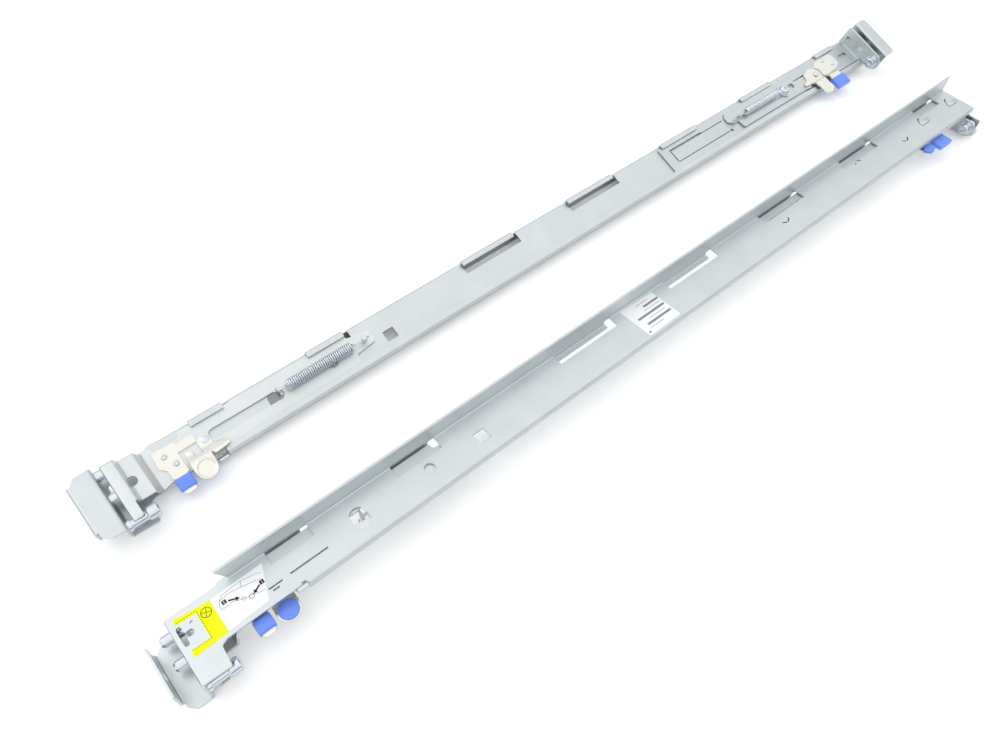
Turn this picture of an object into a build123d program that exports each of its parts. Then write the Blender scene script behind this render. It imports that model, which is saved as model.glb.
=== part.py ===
from build123d import *
from math import atan2, cos, degrees, hypot, radians, sin
import os

# A handed pair of sliding server rails, lying as a pair: the left rail rests on its shelf edge and
# head corner with its outer side up, the right rail lies on its end plates with its inner side up.
# Each rail is drawn in its own frame, in mm: X from the front end to the rear end, Y from the shelf
# bend up the web, Z outward from the outer face of the web. The left rail is the mirror image.

# Sheet stock
sheet = 1.4            # main rail
plate = 1.5            # sliding plates
lever_sheet = 1.1      # nickel-plated latch parts
bend = 0.8             # inner radius of a bend
gap = 0.4              # running gap between sheets that slide on each other
side_gap = 0.5         # gap beside a moving edge

# Main rail
web_length = 733.0
web_height = 32.2      # over the near curl
front_web = web_height - 2.2       # web height ahead of the curl
curl_start = 70.0
curl_height = 5.0      # how far the curl stands out of the web
curl_lip = 5.0         # width of the lip that holds the sliding plates
shelf_depth = 15.0     # shelf, from the outer face of the web to its free edge
shelf_start = 33.0
shelf_slope = 5.0      # how far the front end of the shelf leans back towards the bend

# Head at the front
head_length = 17.2
head_low = 1.6         # far edge of the head
head_top = 43.9        # rear near corner, the highest point of the rail
head_front_top = 43.4
end_height = 21.4      # outer face of the front plate and of the rear end plate
front_plate = 12.0     # how far the front plate reaches forward
front_lip = 2.5        # further reach of its bent middle
lip_low = 5.5          # bent middle of the front plate, from and to
lip_high = 36.5
lip_reach = 5.0        # height at which the bent middle ends
corner_cut = 4.0

# Rack interface: three holes to a unit, pins in the two outer ones of the first gap
hole_pitch = 15.875
pin_low = 5.3          # height of the lower pin on the web
pin_out = 12.0         # distance of the pins from the web
pin_dia = 6.5
pin_length = 13.0
pin_tail_dia = 4.4
pin_tip = 1.2          # tapered tip
pin_clear = 0.4        # round clearance of a pin in a hole it runs through
post_gap = 4.4         # room for the post of the rack between flange and pin flange

# Hold-down tabs along the shelf bend: front and rear end of each
middle = web_length / 2
tabs = [(60.0, 82.5), (144.0, 172.0), (middle - 92.5, middle - 45.5), (middle + 10.5, middle + 57.5),
        (web_length - 252.0, web_length - 210.0), (web_length - 152.0, web_length - 113.0),
        (web_length - 48.0, web_length - 23.0)]
tab_width = 4.7
tab_open = 9.7         # opening that each tab leaves in the web
tab_relief = 4.5       # length of the opening behind the tab

# Front slide
slide_low = 2.6        # far edge of both sliding plates
slide_high = web_height - sheet - 1.4   # near edge, under the curl
flange_fold = 4.0      # folded strip along the top of the pin flange
hat_drop = 2.4         # how far the hat lies below that strip
hat_end = 22.6
hat_height = 17.5      # raised part of the slide
hat_high = 31.0
pin_flange_low = 3.6
pin_flange_high = 34.8
slope_end = 29.0
hook_post = 181.0      # post of the front spring near the slide's end
slide_end = hook_post + 8.0
slide_slot_start = 61.0
slide_slot_end = 118.6
slide_slot_low = 13.0
slide_slot_high = 19.0
tongue_start = hook_post - 9.0
front_travel = 14.0

# Springs
spring_line = 14.4     # axis of the front spring
spring_dia = 8.0
spring_wire = 1.0
spring_start = 122.0
spring_end = 171.5
spring_tab = 115.0
spring_lift = 0.5      # gap under a spring
rear_spring_dia = 7.4
rear_spring_start = web_length - 161.5
rear_spring_end = web_length - 118.5
rear_spring_hook = web_length - 170.7
rear_spring_line = 15.2

# Front latch: plate, grip, thumb lever
latch_gap = 0.3
rivet_dia = 2.6
rivet_head = 4.0
rivets_at = [(36.9, 12.8), (40.9, web_height - 12.6)]
grip_step = 4.2        # underside of the raised finger under the grip
grip_x = (34.9, 45.3)
grip_y = (web_height - 3.2, web_height + 6.4)
grip_wall = 1.5
finger_end = web_height + 8.1
pivot_at = (51.0, web_height - 12.7)
lever_low = web_height - 15.4      # far edge of the thumb lever
pivot_dia = 3.1
pivot_fit = 0.05
pivot_head = 5.2
thumb_at = (54.4, web_height + 1.2)
thumb_radius = 7.0
pad_radius = 5.9
pad_thick = 1.3
curl_clear = 0.4       # gap between the curl and what passes over it

# Rear extension
ext_start = web_length - 255.5
ext_flange = web_length - 2.0      # front face of the end flange
ext_end = ext_flange + front_plate
ext_top = 42.3

# Rear slide
rear_start = web_length - 180.2
rear_low = 5.2
rear_high = web_height - 7.2
rear_flange = ext_flange - 7.0
rear_flange_low = 0.9
rear_screw_dia = 5.8
rear_head_dia = 8.6
guide_at = (web_length - 107.6, 15.2)
washer_dia = 12.6
guide_neck = 4.0       # shoulder of the guide screw in its slot
guide_shank = 3.2
rear_travel = 12.5

# Rear latch
rear_rivets_at = [(web_length - 47.0, 9.6), (web_length - 39.0, web_height - 15.2)]
rear_pivot_at = (web_length - 65.0, web_height - 14.2)
rear_grip_x = (web_length - 58.2, web_length - 42.2)
rear_grip_y = (web_height - 1.8, web_height + 8.8)
rear_thumb_at = (web_length - 67.5, web_height + 3.0)
rear_thumb_radii = (6.6, 5.0)

# How the pair lies: distance of the right rail from the left one
pair_shift = -7.8      # the right rail lies this much further forward
pair_gap = 76.2        # from the near edge of the left rail to the shelf bend of the right one

# Derived levels above the web
slide_z = gap                              # underside of the sliding plates
slide_top = slide_z + plate
upper_z = slide_top + gap                  # underside of the rear slide, which lies on the extension
upper_top = upper_z + plate
tab_z = slide_top + side_gap               # underside of the hold-down tabs
lip_z = curl_height - sheet                # underside of the curl's lip
over_z = curl_height + curl_clear          # lowest level that clears the curl
pin_flange_x = sheet + post_gap            # front face of the pin flange
hat_start = pin_flange_x + flange_fold
pin_rows = [pin_low, pin_low + hole_pitch]
screw_row = pin_low + 2 * hole_pitch


def block(x, y, z):
    """Box given by its ranges."""
    (x0, x1), (y0, y1), (z0, z1) = x, y, z
    return Pos((x0 + x1) / 2, (y0 + y1) / 2, (z0 + z1) / 2) * Box(x1 - x0, y1 - y0, z1 - z0)


def outline(points, radii=None):
    """Flat face from its corners; radii gives a rounding for each corner, 0 for a sharp one."""
    face = make_face(Polyline(*points, close=True))
    for (x, y), r in zip(points, radii or []):
        if r:
            corner = face.vertices().sort_by_distance((x, y, 0))[0]
            face = fillet(corner, r)
    return face


def slab(points, z0, z1, radii=None):
    """Piece of flat sheet between two levels."""
    return extrude(Plane.XY.offset(z0) * outline(points, radii), z1 - z0)


def disc(x, y, r, z0, z1):
    """Round piece standing on the web."""
    return Pos(x, y, (z0 + z1) / 2) * Cylinder(r, z1 - z0)


def rod(x0, x1, y, z, r):
    """Round piece lying along the rail."""
    return Pos((x0 + x1) / 2, y, z) * Rot(0, 90, 0) * Cylinder(r, x1 - x0)


def obround(x0, x1, y0, y1, z0, z1):
    """Slot or hole with rounded ends."""
    r = min(x1 - x0, y1 - y0) / 2 - 0.01
    corners = [(x0, y0), (x1, y0), (x1, y1), (x0, y1)]
    return slab(corners, z0, z1, [r] * 4)


def parallel(path, t):
    """Points of a path moved to its left by t, with mitred corners."""
    moved = []
    for i, (x, y) in enumerate(path):
        units = []
        for a, b in ((i - 1, i), (i, i + 1)):
            if 0 <= a and b < len(path):
                dx, dy = path[b][0] - path[a][0], path[b][1] - path[a][1]
                units.append((dx / hypot(dx, dy), dy / hypot(dx, dy)))
        (ux, uy), (vx, vy) = units[0], units[-1]
        nx, ny = -uy - vy, ux + vx
        scale = t / (1 + ux * vx + uy * vy)
        moved.append((x + nx * scale, y + ny * scale))
    return moved


def strip(path, t, r):
    """Section of a bent sheet: the path runs along one face and the sheet lies on its left."""
    other = parallel(path, t)
    radii = [0.0]
    for a, b, c in zip(path, path[1:], path[2:]):
        turn = (b[0] - a[0]) * (c[1] - b[1]) - (b[1] - a[1]) * (c[0] - b[0])
        radii.append(r if turn < 0 else r + t)
    radii.append(0.0)
    far = [0.0 if q == 0 else (r + t if q == r else r) for q in radii]
    return outline(path + other[::-1], radii + far[::-1])


def along_x(section, x0, x1):
    """Section drawn in Y and Z, extruded along the rail."""
    return extrude(Plane((x0, 0, 0), x_dir=(0, 1, 0), z_dir=(1, 0, 0)) * section, x1 - x0)


def along_y(section, y0, y1):
    """Section drawn in X and Z, extruded across the rail."""
    return extrude(Plane((0, y1, 0), x_dir=(1, 0, 0), z_dir=(0, -1, 0)) * section, y1 - y0)


def crescent(x, y, r, start, sweep):
    """Curved lance in the web."""
    ring = Circle(r + 0.5) - Circle(r - 0.5)
    a, b = radians(start), radians(start + sweep)
    far = 3 * r
    wedge = make_face(Polyline((0, 0), (far * cos(a), far * sin(a)),
                               (far * cos((a + b) / 2), far * sin((a + b) / 2)),
                               (far * cos(b), far * sin(b)), close=True))
    return Pos(x, y, -sheet - 1) * extrude(ring & wedge, sheet + 2)


def main_rail():
    """One bent sheet: shelf, web, curl, hold-down tabs, head with flange and front plate."""
    s = sheet
    inside = (s, -shelf_depth)
    curl_turn = (web_height, -s)
    full = strip([inside, (s, -s), curl_turn, (web_height, curl_height),
                  (web_height - curl_lip, curl_height)], s, bend)
    plain = strip([inside, (s, -s), (front_web, -s)], s, bend)
    rail = along_x(full, curl_start, web_length) + along_x(plain, shelf_start, curl_start)
    foot = shelf_start + shelf_slope
    slope = make_face(Polyline((shelf_start - 1, -s), (foot, -s), (shelf_start, -shelf_depth - 1),
                               (shelf_start - 1, -shelf_depth - 1), close=True))
    rail -= along_y(slope, -1, s + bend)

    neck_in, neck_out = head_length + 0.9, head_length + 4.7
    head = slab([(s / 2, head_low), (shelf_start - 3, head_low), (shelf_start, 0), (foot + 1, 0),
                 (foot + 1, front_web), (neck_out, front_web), (neck_in, front_web + 1.6),
                 (head_length, head_top), (s / 2, head_front_top)], -s, 0,
                [0, 4, 3, 0, 0, 2.2, 2.2, 1, 0])
    rail += head

    stay = [(8, 0), (s, 0), (s, end_height), (-front_plate - front_lip, end_height)]
    lip = stay + [(-front_plate - front_lip, lip_reach)]
    front = along_y(strip(stay, s, bend), head_low, head_front_top)
    cut = corner_cut
    reach = -front_plate
    plan = outline([(8, 0), (8, 50), (reach + cut, 50), (reach + cut, head_front_top),
                    (reach, head_front_top - cut), (reach, head_low + cut), (reach + cut, head_low),
                    (reach + cut, 0)])
    front &= Pos(0, 0, -5) * extrude(plan, end_height + 10)
    front += along_y(strip(lip, s, bend), lip_low, lip_high)
    for y in pin_rows:
        front -= rod(-30, 5, y, pin_out, pin_dia / 2 + pin_clear)
    rail += front

    bar_x, bar_end, stem_end = 3.2, 6.0, 10.8
    rail -= obround(bar_x, bar_end, 9.2, 21.0, -s - 1, 1)
    rail -= obround(bar_x, stem_end, 13.8, 17.2, -s - 1, 1)
    rail -= block((bar_end - 2, bar_end + 1), (13.9, 17.1), (-s - 1, 1))
    rail -= disc(11.6, 11.0, 0.9, -s - 1, 1)

    for x0, x1 in tabs:
        rail -= block((x0, x1 + tab_relief), (s, tab_open), (-s - 1, 1))
        rail -= block((x1, x1 + tab_relief), (0.4, tab_open), (-s / 2, 1))
        hook = strip([(s, -s - 2), (s, tab_z), (tab_width, tab_z)], s, bend)
        rail += along_x(hook, x0, x1)

    open_y = (10.0, 24.5)
    rail -= obround(spring_tab - 7.5, spring_tab + 2.7, *open_y, -s - 1, 1)
    tab_y = (spring_line - 1.9, spring_line + 1.9)
    rail += along_y(strip([(spring_tab + 4, 0), (spring_tab + s / 2, 0),
                           (spring_tab + s / 2, slide_top + spring_lift + spring_dia + 0.6)], s, bend),
                    *tab_y)
    rail -= rod(spring_tab - 3, spring_tab + 3, spring_line, slide_top + spring_lift + spring_dia / 2,
                spring_wire * 0.9)

    e = web_length
    for x0, x1, y0, y1 in [(65, 89, 20.2, 21.2), (51.5, 60, 20.6, 21.5), (53, 57, 22.8, 23.6),
                           (66.8, 69.3, front_web - 1.3, front_web + 1), (195.8, 204.2, 14.9, 22.9),
                           (e - 154.5, e - 149.5, 7.4, 9.2)]:
        rail -= block((x0, x1), (y0, y1), (-s - 1, 1))
    rail -= disc(162.3, 16.7, 3.5, -s - 1, 1)
    for x, y, start, sweep in [(e - 238, 14.8, 20, 130), (e - 139, 14.1, 200, 130), (e - 84, 16.4, 20, 130),
                               (e - 51, 14.5, 160, 110), (e - 9.5, 14.0, 160, 110)]:
        rail -= crescent(x, y, 4.2, start, sweep)
    rail -= rod(-1, 5, receiver_y, receiver_z, receiver_shank / 2)
    return rail


receiver_y = 39.8      # threaded receiver at the near end of the front flange
receiver_z = 11.5
receiver_shank = 5.8
receiver_ring = 7.5
receiver_barrel = 8.5
receiver_bore = 4.2


def receiver():
    """Threaded receiver beside the pins, staked into the front flange, with its bright barrel."""
    y, z = receiver_y, receiver_z
    stud = rod(0, 13.5, y, z, receiver_shank / 2) + rod(sheet, sheet + 2.4, y, z, receiver_ring / 2)
    stud -= rod(-1, 14.5, y, z, receiver_bore / 2)
    barrel = rod(13.5, 20.5, y, z, receiver_barrel / 2)
    barrel = chamfer(barrel.edges().filter_by(GeomType.CIRCLE), 0.5)
    barrel -= rod(12.5, 18.5, y, z, receiver_bore / 2)
    return stud, barrel


def travel_pin():
    """Bright pin rolled into the notch in the near edge of the web."""
    pin = rod(62.8, 69.7, front_web + 1.5, -sheet / 2, 1.5)
    return chamfer(pin.edges().filter_by(GeomType.CIRCLE), 0.3)


def front_slide():
    """Long sliding plate that ends in the raised hat and the pin flange."""
    t, x = plate, pin_flange_x
    section = [(x, slide_top + side_gap), (x, hat_height + hat_drop), (hat_start, hat_height + hat_drop),
               (hat_start + 1.6, hat_height), (hat_end, hat_height), (slope_end, slide_z + t),
               (slide_end, slide_z + t)]
    bent = along_y(strip_right(section, t, bend), slide_low, pin_flange_high)
    plan = outline([(x - 1, pin_flange_low), (x - 1, pin_flange_high), (hat_start, pin_flange_high),
                    (hat_start, hat_high), (19.5, hat_high - 0.2), (26.5, slide_high - 0.8),
                    (64.8, slide_high - 0.8), (66.4, slide_high), (tongue_start, slide_high),
                    (tongue_start, 19.6), (slide_end, 17.6), (slide_end, 8.4), (tongue_start, 6.4),
                    (tongue_start, slide_low), (57, slide_low), (57, 6.4), (48, 6.4),
                    (48, slide_low), (27, slide_low), (24, pin_flange_low)],
                   [0, 0, 0, 0, 4, 4, 0, 0, 3, 2, 3, 3, 2, 1.5, 1, 2.4, 2.4, 1, 3, 3])
    part = bent & (Pos(0, 0, -1) * extrude(plan, 30))
    part -= disc(13.2, 17.6, 3.0, hat_height - 3, hat_height + 3)
    z = (slide_z - 1, slide_top + 1)
    part -= obround(slide_slot_start, slide_slot_end, slide_slot_low - 1, slide_slot_high, *z)
    part -= disc(155.5, 16.5, 3.2, *z)
    post = slab([(hook_post - 1.6, spring_line - 1.6), (hook_post + 1.6, spring_line - 1.6),
                 (hook_post + 1.6, spring_line + 1.6), (hook_post - 1.6, spring_line + 1.6)],
                slide_top - 0.2, slide_top + spring_lift + spring_dia / 2 + 2.4, [0.8] * 4)
    post -= rod(hook_post - 3, hook_post + 3, spring_line, slide_top + spring_lift + spring_dia / 2,
                spring_wire * 0.9)
    part += post
    for y in pin_rows:
        part -= rod(x - 1, x + t + 1, y, pin_out, pin_tail_dia / 2)
    return part


def strip_right(path, t, r):
    """Section of a bent sheet that lies on the right of its path."""
    return strip(path[::-1], t, r)


def pins(x0, direction):
    """Two steel pins staked into a pin flange; direction is the way they point."""
    out = []
    for y in pin_rows:
        body = rod(min(x0, x0 + direction * pin_length), max(x0, x0 + direction * pin_length),
                   y, pin_out, pin_dia / 2)
        tip = body.edges().filter_by(GeomType.CIRCLE).sort_by(Axis.X)
        body = chamfer(tip[-1] if direction > 0 else tip[0], pin_tip)
        back = x0 - direction * (plate + 0.5)
        tail = rod(min(x0, back), max(x0, back), y, pin_out, pin_tail_dia / 2)
        out.append(body + tail)
    return out


def rivets(places, z):
    """Domed rivets through a latch plate into the slide."""
    out = []
    for x, y in places:
        head = disc(x, y, rivet_head / 2, z, z + 0.9)
        head = chamfer(head.edges().filter_by(GeomType.CIRCLE).sort_by(Axis.Z)[-1], 0.4)
        out.append(head + disc(x, y, rivet_dia / 2, z - lever_sheet, z))
    return out


def latch_plate():
    """Nickel-plated plate on the front slide; its raised finger carries the grip."""
    t, z = lever_sheet, slide_top
    flat_edge = web_height - 7.6
    low = tab_width + side_gap
    arm = lever_low - 2.8
    flat = slab([(31.0, low), (31.0, 9.0), (30.8, flat_edge - 7.6), (34.7, flat_edge - 3.6),
                 (34.9, flat_edge), (45.3, flat_edge), (45.3, arm), (57.5, arm),
                 (60.0, (arm + 7.0) / 2), (57.5, 7.6), (49.0, 7.6), (47.0, low)], z, z + t,
                [1, 0, 2.5, 1.5, 0, 0, 1.0, 0.8, 1.0, 1.0, 2.4, 1])
    rise = [(flat_edge - 0.3, z + t), (flat_edge, z + t), (flat_edge + 2.3, grip_step + t),
            (finger_end, grip_step + t)]
    finger = along_x(strip_right(rise, t, 0.5), 34.9, 45.3)
    x0, x1, start = grip_x[0] + grip_wall, grip_x[1] - grip_wall, grip_y[0]
    plan = slab([(34.9, 20), (45.3, 20), (45.3, start - 1.4), (x1, start - 0.2), (x1, finger_end),
                 (x0, finger_end), (x0, start - 0.2), (34.9, start - 1.4)], 0, 12,
                [0, 0, 0.4, 0.1, 1.5, 1.5, 0.1, 0.4])
    plate_ = flat + (finger & plan)
    for x, y in rivets_at:
        plate_ -= disc(x, y, rivet_dia / 2, z - 1, z + t + 1)
    return plate_


def grip(x, y, z, tip):
    """Moulded sleeve over a finger of the latch plate, open at both ends."""
    t = lever_sheet
    x0, x1 = x
    body = block((x0, x1), y, (z - grip_wall, z + t + grip_wall))
    body = fillet(body.edges().filter_by(Axis.Y), 1.2)
    body -= block((x0 + grip_wall, x1 - grip_wall), (y[0] - 1, tip), (z, z + t))
    return body


def lever_pivot(at, z0, z1):
    """Shouldered rivet on which a thumb lever turns."""
    x, y = at
    shaft = disc(x, y, pivot_dia / 2, z0, z1 + latch_gap)
    head = disc(x, y, pivot_head / 2, z1 + latch_gap, z1 + latch_gap + 0.9)
    head = chamfer(head.edges().filter_by(GeomType.CIRCLE).sort_by(Axis.Z)[-1], 0.4)
    return shaft + head


def thumb_lever():
    """Nickel-plated lever: tail under the curl, raised round end over it."""
    t = lever_sheet
    z = slide_top + latch_gap
    raised = over_z + pad_thick
    fold = lever_low + 5.6
    fold_end = fold + (raised - z) * 0.5
    flat = slab([(48.6, lever_low), (53.6, lever_low), (53.6, fold - 0.6), (60.6, fold - 0.6),
                 (60.6, lever_low + 0.6), (64.0, lever_low - 0.2), (75.0, lever_low + 4.0),
                 (75.0, fold + 1.6), (70.5, fold + 2.2), (69.8, fold + 5.6), (63.4, fold + 5.6),
                 (62.4, fold + 0.4), (48.0, fold + 0.4), (48.0, fold - 0.8), (48.6, fold - 0.8)],
                z, z + t, [2.3, 2.3, 0.6, 0.6, 1.2, 1.2, 1.5, 1.5, 0.8, 0.5, 0.5, 0.8, 0, 0, 0])
    rise = [(fold, z + t), (fold + 0.4, z + t), (fold_end, raised + t), (thumb_at[1] + 8, raised + t)]
    arm = along_x(strip_right(rise, t, 0.5), 46, 64)
    x, y = thumb_at
    left = x - thumb_radius
    plan = slab([(48.0, fold - 2.4), (61.4, fold - 2.4), (61.4, fold_end), (x + thumb_radius - 0.05, y),
                 (left + 0.05, y), (left + 0.4, fold_end)], 0, 20) + disc(x, y, thumb_radius, 0, 20)
    lever = flat + (arm & plan)
    lever -= disc(x, y, thumb_radius - 1.3, raised + t - 0.3, raised + t + 1)
    lever -= disc(*pivot_at, pivot_dia / 2 + pivot_fit, z - 1, z + t + 1)
    return lever


def thumb_pad():
    """Round plastic pad under the round end of the thumb lever."""
    pad = disc(*thumb_at, pad_radius, over_z, over_z + pad_thick)
    return fillet(pad.edges().filter_by(GeomType.CIRCLE).sort_by(Axis.Z)[0], 0.5)


def coil(x0, x1, y, z, dia, front_hook, rear_hook):
    """Close-wound extension spring: the coil as a sleeve, with an open eye at each end."""
    r = dia / 2
    body = rod(x0, x1, y, z, r) - rod(x0 + spring_wire, x1 - spring_wire, y, z, r - spring_wire)
    for tip, root, way in ((front_hook, x0, -1), (rear_hook, x1, 1)):
        body += rod(min(tip, root), max(tip, root), y, z, spring_wire / 2)
    return body


def front_spring():
    z = slide_top + spring_lift + spring_dia / 2
    return coil(spring_start, spring_end, spring_line, z, spring_dia,
                spring_tab - sheet / 2 - 1.0, hook_post + 1.6 + 1.0)


def rear_extension():
    """Long plate that sets the depth of the rack; end flange with pin holes and end plate."""
    t, top = plate, slide_top
    x = ext_flange
    upper = [(ext_start, top), (x, top), (x, end_height), (ext_end, end_height)]
    low = rear_flange_low
    body = along_y(strip_right(upper, t, bend), low, ext_top)
    plan = outline([(ext_start, slide_low), (x - 5, slide_low), (x - 3, low), (ext_end - 2.5, low),
                    (ext_end, low + 2.5), (ext_end, ext_top - 2.5), (ext_end - 2.5, ext_top),
                    (x - 0.5, ext_top), (x - 0.5, slide_high), (ext_start, slide_high)],
                   [1.5, 0, 0, 0, 0, 0, 0, 0, 0, 1.5])
    body &= Pos(0, 0, -1) * extrude(plan, end_height + 5)
    body -= block((x - 2, x + t + 1), (web_height - curl_lip - 0.6, ext_top + 1), (-1, over_z))
    for y in pin_rows + [screw_row]:
        body -= rod(x - 3, x + t + 3, y, pin_out, pin_dia / 2 + pin_clear)
    z = (slide_z - 1, top + 1)
    a = ext_start
    body -= block((a + 8.5, a + 9.5), (9.3, 20.3), z)
    body -= obround(a + 8.1, a + 46.5, 8.2, 9.9, *z)
    body -= block((a + 42.5, a + 72.5), (9.0, 9.8), z)
    body -= block((a + 9.0, a + 74.3), (20.5, 21.3), z)
    body -= disc(a + 75.1, 20.9, 1.3, *z)
    body -= obround(a + 88.5, a + 91.1, 17.4, 20.4, *z)
    body -= disc(*guide_at, guide_shank / 2, *z)
    return body


def rear_slide():
    """Upper plate that carries the rear pins; the rear spring pulls it back."""
    t, z0, z1 = plate, upper_z, upper_top
    x = rear_flange
    under_lip = web_height - curl_lip - side_gap
    upper = [(rear_start, z1), (x, z1), (x, end_height)]
    body = along_y(strip_right(upper, t, bend), rear_flange_low, 46)
    plan = outline([(rear_start, 8.6), (rear_start + 3.2, rear_low), (x - 84, rear_low),
                    (x - 80, rear_low + 1.2), (x - 0.2, rear_low + 1.2), (x - 0.2, rear_flange_low),
                    (x + t + 1, rear_flange_low), (x + t + 1, 46), (x - 0.2, 46),
                    (x - 0.2, rear_high + 1.2), (x - 69, rear_high + 1.2), (x - 76, rear_high),
                    (rear_start + 11.6, rear_high), (rear_start + 10.4, 17.6), (rear_start + 5, 17.6),
                    (rear_start, 14.0)],
                   [1, 1.5, 3, 3, 0, 0, 0, 0, 0, 0, 3, 3, 1, 1, 2, 1.5])
    body &= Pos(0, 0, 0) * extrude(plan, end_height + 5)
    ear = (Plane((x - 1, 0, 0), x_dir=(0, 1, 0), z_dir=(1, 0, 0))
           * outline([(rear_flange_low, z0), (under_lip, z0), (under_lip, over_z), (screw_row + 2, over_z),
                      (screw_row + 6.8, pin_out - 3.5), (screw_row + 6.8, pin_out + 3.5),
                      (screw_row + 2, end_height - 1.6), (rear_flange_low, end_height - 1.6)],
                     [0, 0, 0, 2, 4.5, 4.5, 2, 1.5]))
    keep = extrude(ear, t + 2) + block((rear_start - 1, x - 0.9), (0, 50), (0, 30))
    body &= keep
    gx, gy = guide_at
    side = guide_neck / 2 + gap
    body -= obround(gx - side, gx + side + rear_travel, gy - side, gy + side, z0 - 1, z1 + 1)
    body -= obround(x - 82, x - 65, 11.8, 12.9, z0 - 1, z1 + 1)
    body -= obround(x - 18, x - 6, 13.0, 16.4, z0 - 1, z1 + 1)
    hook_z = upper_top + spring_lift + rear_spring_dia / 2
    post = slab([(rear_spring_hook - 1.5, rear_spring_line - 1.5), (rear_spring_hook + 1.5, rear_spring_line - 1.5),
                 (rear_spring_hook + 1.5, rear_spring_line + 1.5), (rear_spring_hook - 1.5, rear_spring_line + 1.5)],
                z1 - 0.2, hook_z + 2.0, [0.6] * 4)
    post -= rod(rear_spring_hook - 3, rear_spring_hook + 3, rear_spring_line, hook_z, spring_wire * 0.9)
    body += post
    for y in pin_rows:
        body -= rod(x - 1, x + t + 1, y, pin_out, pin_tail_dia / 2)
    body -= rod(x - 1, x + t + 1, screw_row, pin_out, rear_screw_dia / 2)
    return body


def rear_screw():
    """Socket-head screw in the ear of the pin flange."""
    x, y, z = rear_flange, screw_row, pin_out
    head = rod(x - 5.2, x, y, z, rear_head_dia / 2)
    head = chamfer(head.edges().filter_by(GeomType.CIRCLE).sort_by(Axis.X)[0], 0.6)
    hexagon = extrude(Plane((x - 6, y, z), x_dir=(0, 1, 0), z_dir=(1, 0, 0)) * RegularPolygon(2.5, 6), 3.6)
    washer = rod(x - 0.9, x, y, z, rear_head_dia / 2 + 1.2)
    return head + washer + rod(x, x + plate, y, z, rear_screw_dia / 2) - hexagon


def guide_screw():
    """Cross-head screw in the extension; its shank runs in the slot of the rear slide."""
    x, y = guide_at
    seat = upper_top + latch_gap
    top = seat + 1.2
    thin = guide_shank / 2
    shank = disc(x, y, thin, slide_z + 0.1, seat) + disc(x, y, guide_neck / 2, slide_top, seat)
    head = disc(x, y, 4.0, top, top + 2.2)
    head = fillet(head.edges().filter_by(GeomType.CIRCLE).sort_by(Axis.Z)[-1], 1.1)
    for turn in (0, 90):
        head -= Pos(x, y, top + 2.2) * Rot(0, 0, turn) * Box(4.2, 0.9, 2.0)
    washer = disc(x, y, washer_dia / 2, seat, top)
    return shank + disc(x, y, thin, seat, top) + head, washer - disc(x, y, thin, seat - 1, top + 1)


def rear_spring():
    z = upper_top + spring_lift + rear_spring_dia / 2
    return coil(rear_spring_start, rear_spring_end, rear_spring_line, z, rear_spring_dia,
                rear_spring_hook - 2.5, rear_spring_end + 2.0)


def rear_latch_plate():
    """Nickel-plated plate on the rear slide, with the raised finger for its grip."""
    t, z = lever_sheet, upper_top
    step = over_z + grip_wall
    flat_edge = web_height - 9.6
    left, right = rear_grip_x[0] + 0.7, rear_grip_x[1] + 0.2
    flat = slab([(left + 1, 7.4), (right + 6.5, 7.4), (right + 9.5, 11.0), (right + 9.5, flat_edge - 3.1),
                 (right + 0.5, flat_edge), (left, flat_edge), (left, flat_edge - 7.1),
                 (left - 3.5, 11.0)], z, z + t,
                [2, 2, 1.5, 2, 1.5, 0, 1.5, 1.5])
    rise = [(flat_edge - 0.4, z + t), (flat_edge, z + t), (flat_edge + 3.4, step + t),
            (rear_grip_y[1] - 1.2, step + t)]
    finger = along_x(strip_right(rise, t, 0.5), left, right)
    x0, x1 = rear_grip_x[0] + grip_wall, rear_grip_x[1] - grip_wall
    y0, y1 = flat_edge - 2.6, rear_grip_y[1] + 4.0
    plan = slab([(x0, y0), (x1, y0), (x1, y1), (x0, y1)], 0, step * 3)
    part = flat + (finger & plan)
    for x, y in rear_rivets_at:
        part -= disc(x, y, rivet_dia / 2, z - 1, z + t + 1)
    return part


def rear_thumb_lever():
    """Nickel-plated lever beside the rear grip, turning on its own rivet."""
    t = lever_sheet
    z = upper_top + latch_gap
    raised = over_z + pad_thick
    fold = web_height - 9.2
    fold_end = fold + (raised - z) * 0.6
    px, py = rear_pivot_at
    flat = slab([(px - 12.6, py - 5.4), (px - 4.0, py - 8.4), (px + 3.0, py - 5.6), (px + 5.4, py - 1.0),
                 (px + 4.6, fold + 0.4), (px - 18.0, fold + 0.4), (px - 19.8, fold - 2.0),
                 (px - 13.0, fold - 5.0)], z, z + t,
                [2, 2.5, 2.5, 2, 0, 1.2, 0.6, 2])
    rise = [(fold, z + t), (fold + 0.4, z + t), (fold_end, raised + t), (rear_thumb_at[1] + 8, raised + t)]
    arm = along_x(strip_right(rise, t, 0.5), px - 23, px + 8)
    ax, ay = rear_thumb_at
    rx, ry = rear_thumb_radii
    plan = slab([(px - 11.5, fold - 3), (px + 3, fold - 3), (ax + rx - 0.6, ay - 1),
                 (ax - rx + 0.6, ay - 1)], 0, 20)
    plan += Pos(ax, ay, 0) * extrude(Ellipse(rx, ry), 20)
    lever = flat + (arm & plan)
    lever -= disc(px, py, pivot_dia / 2 + pivot_fit, z - 1, z + t + 1)
    return lever


def rear_thumb_pad():
    """Oval plastic pad under the finger of the rear thumb lever."""
    ax, ay = rear_thumb_at
    rx, ry = rear_thumb_radii
    pad = Pos(ax, ay, over_z) * extrude(Ellipse(rx - 0.9, ry - 0.9), pad_thick)
    return fillet(pad.edges().sort_by(Axis.Z)[0], 0.4)


label_thick = 0.12


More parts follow.
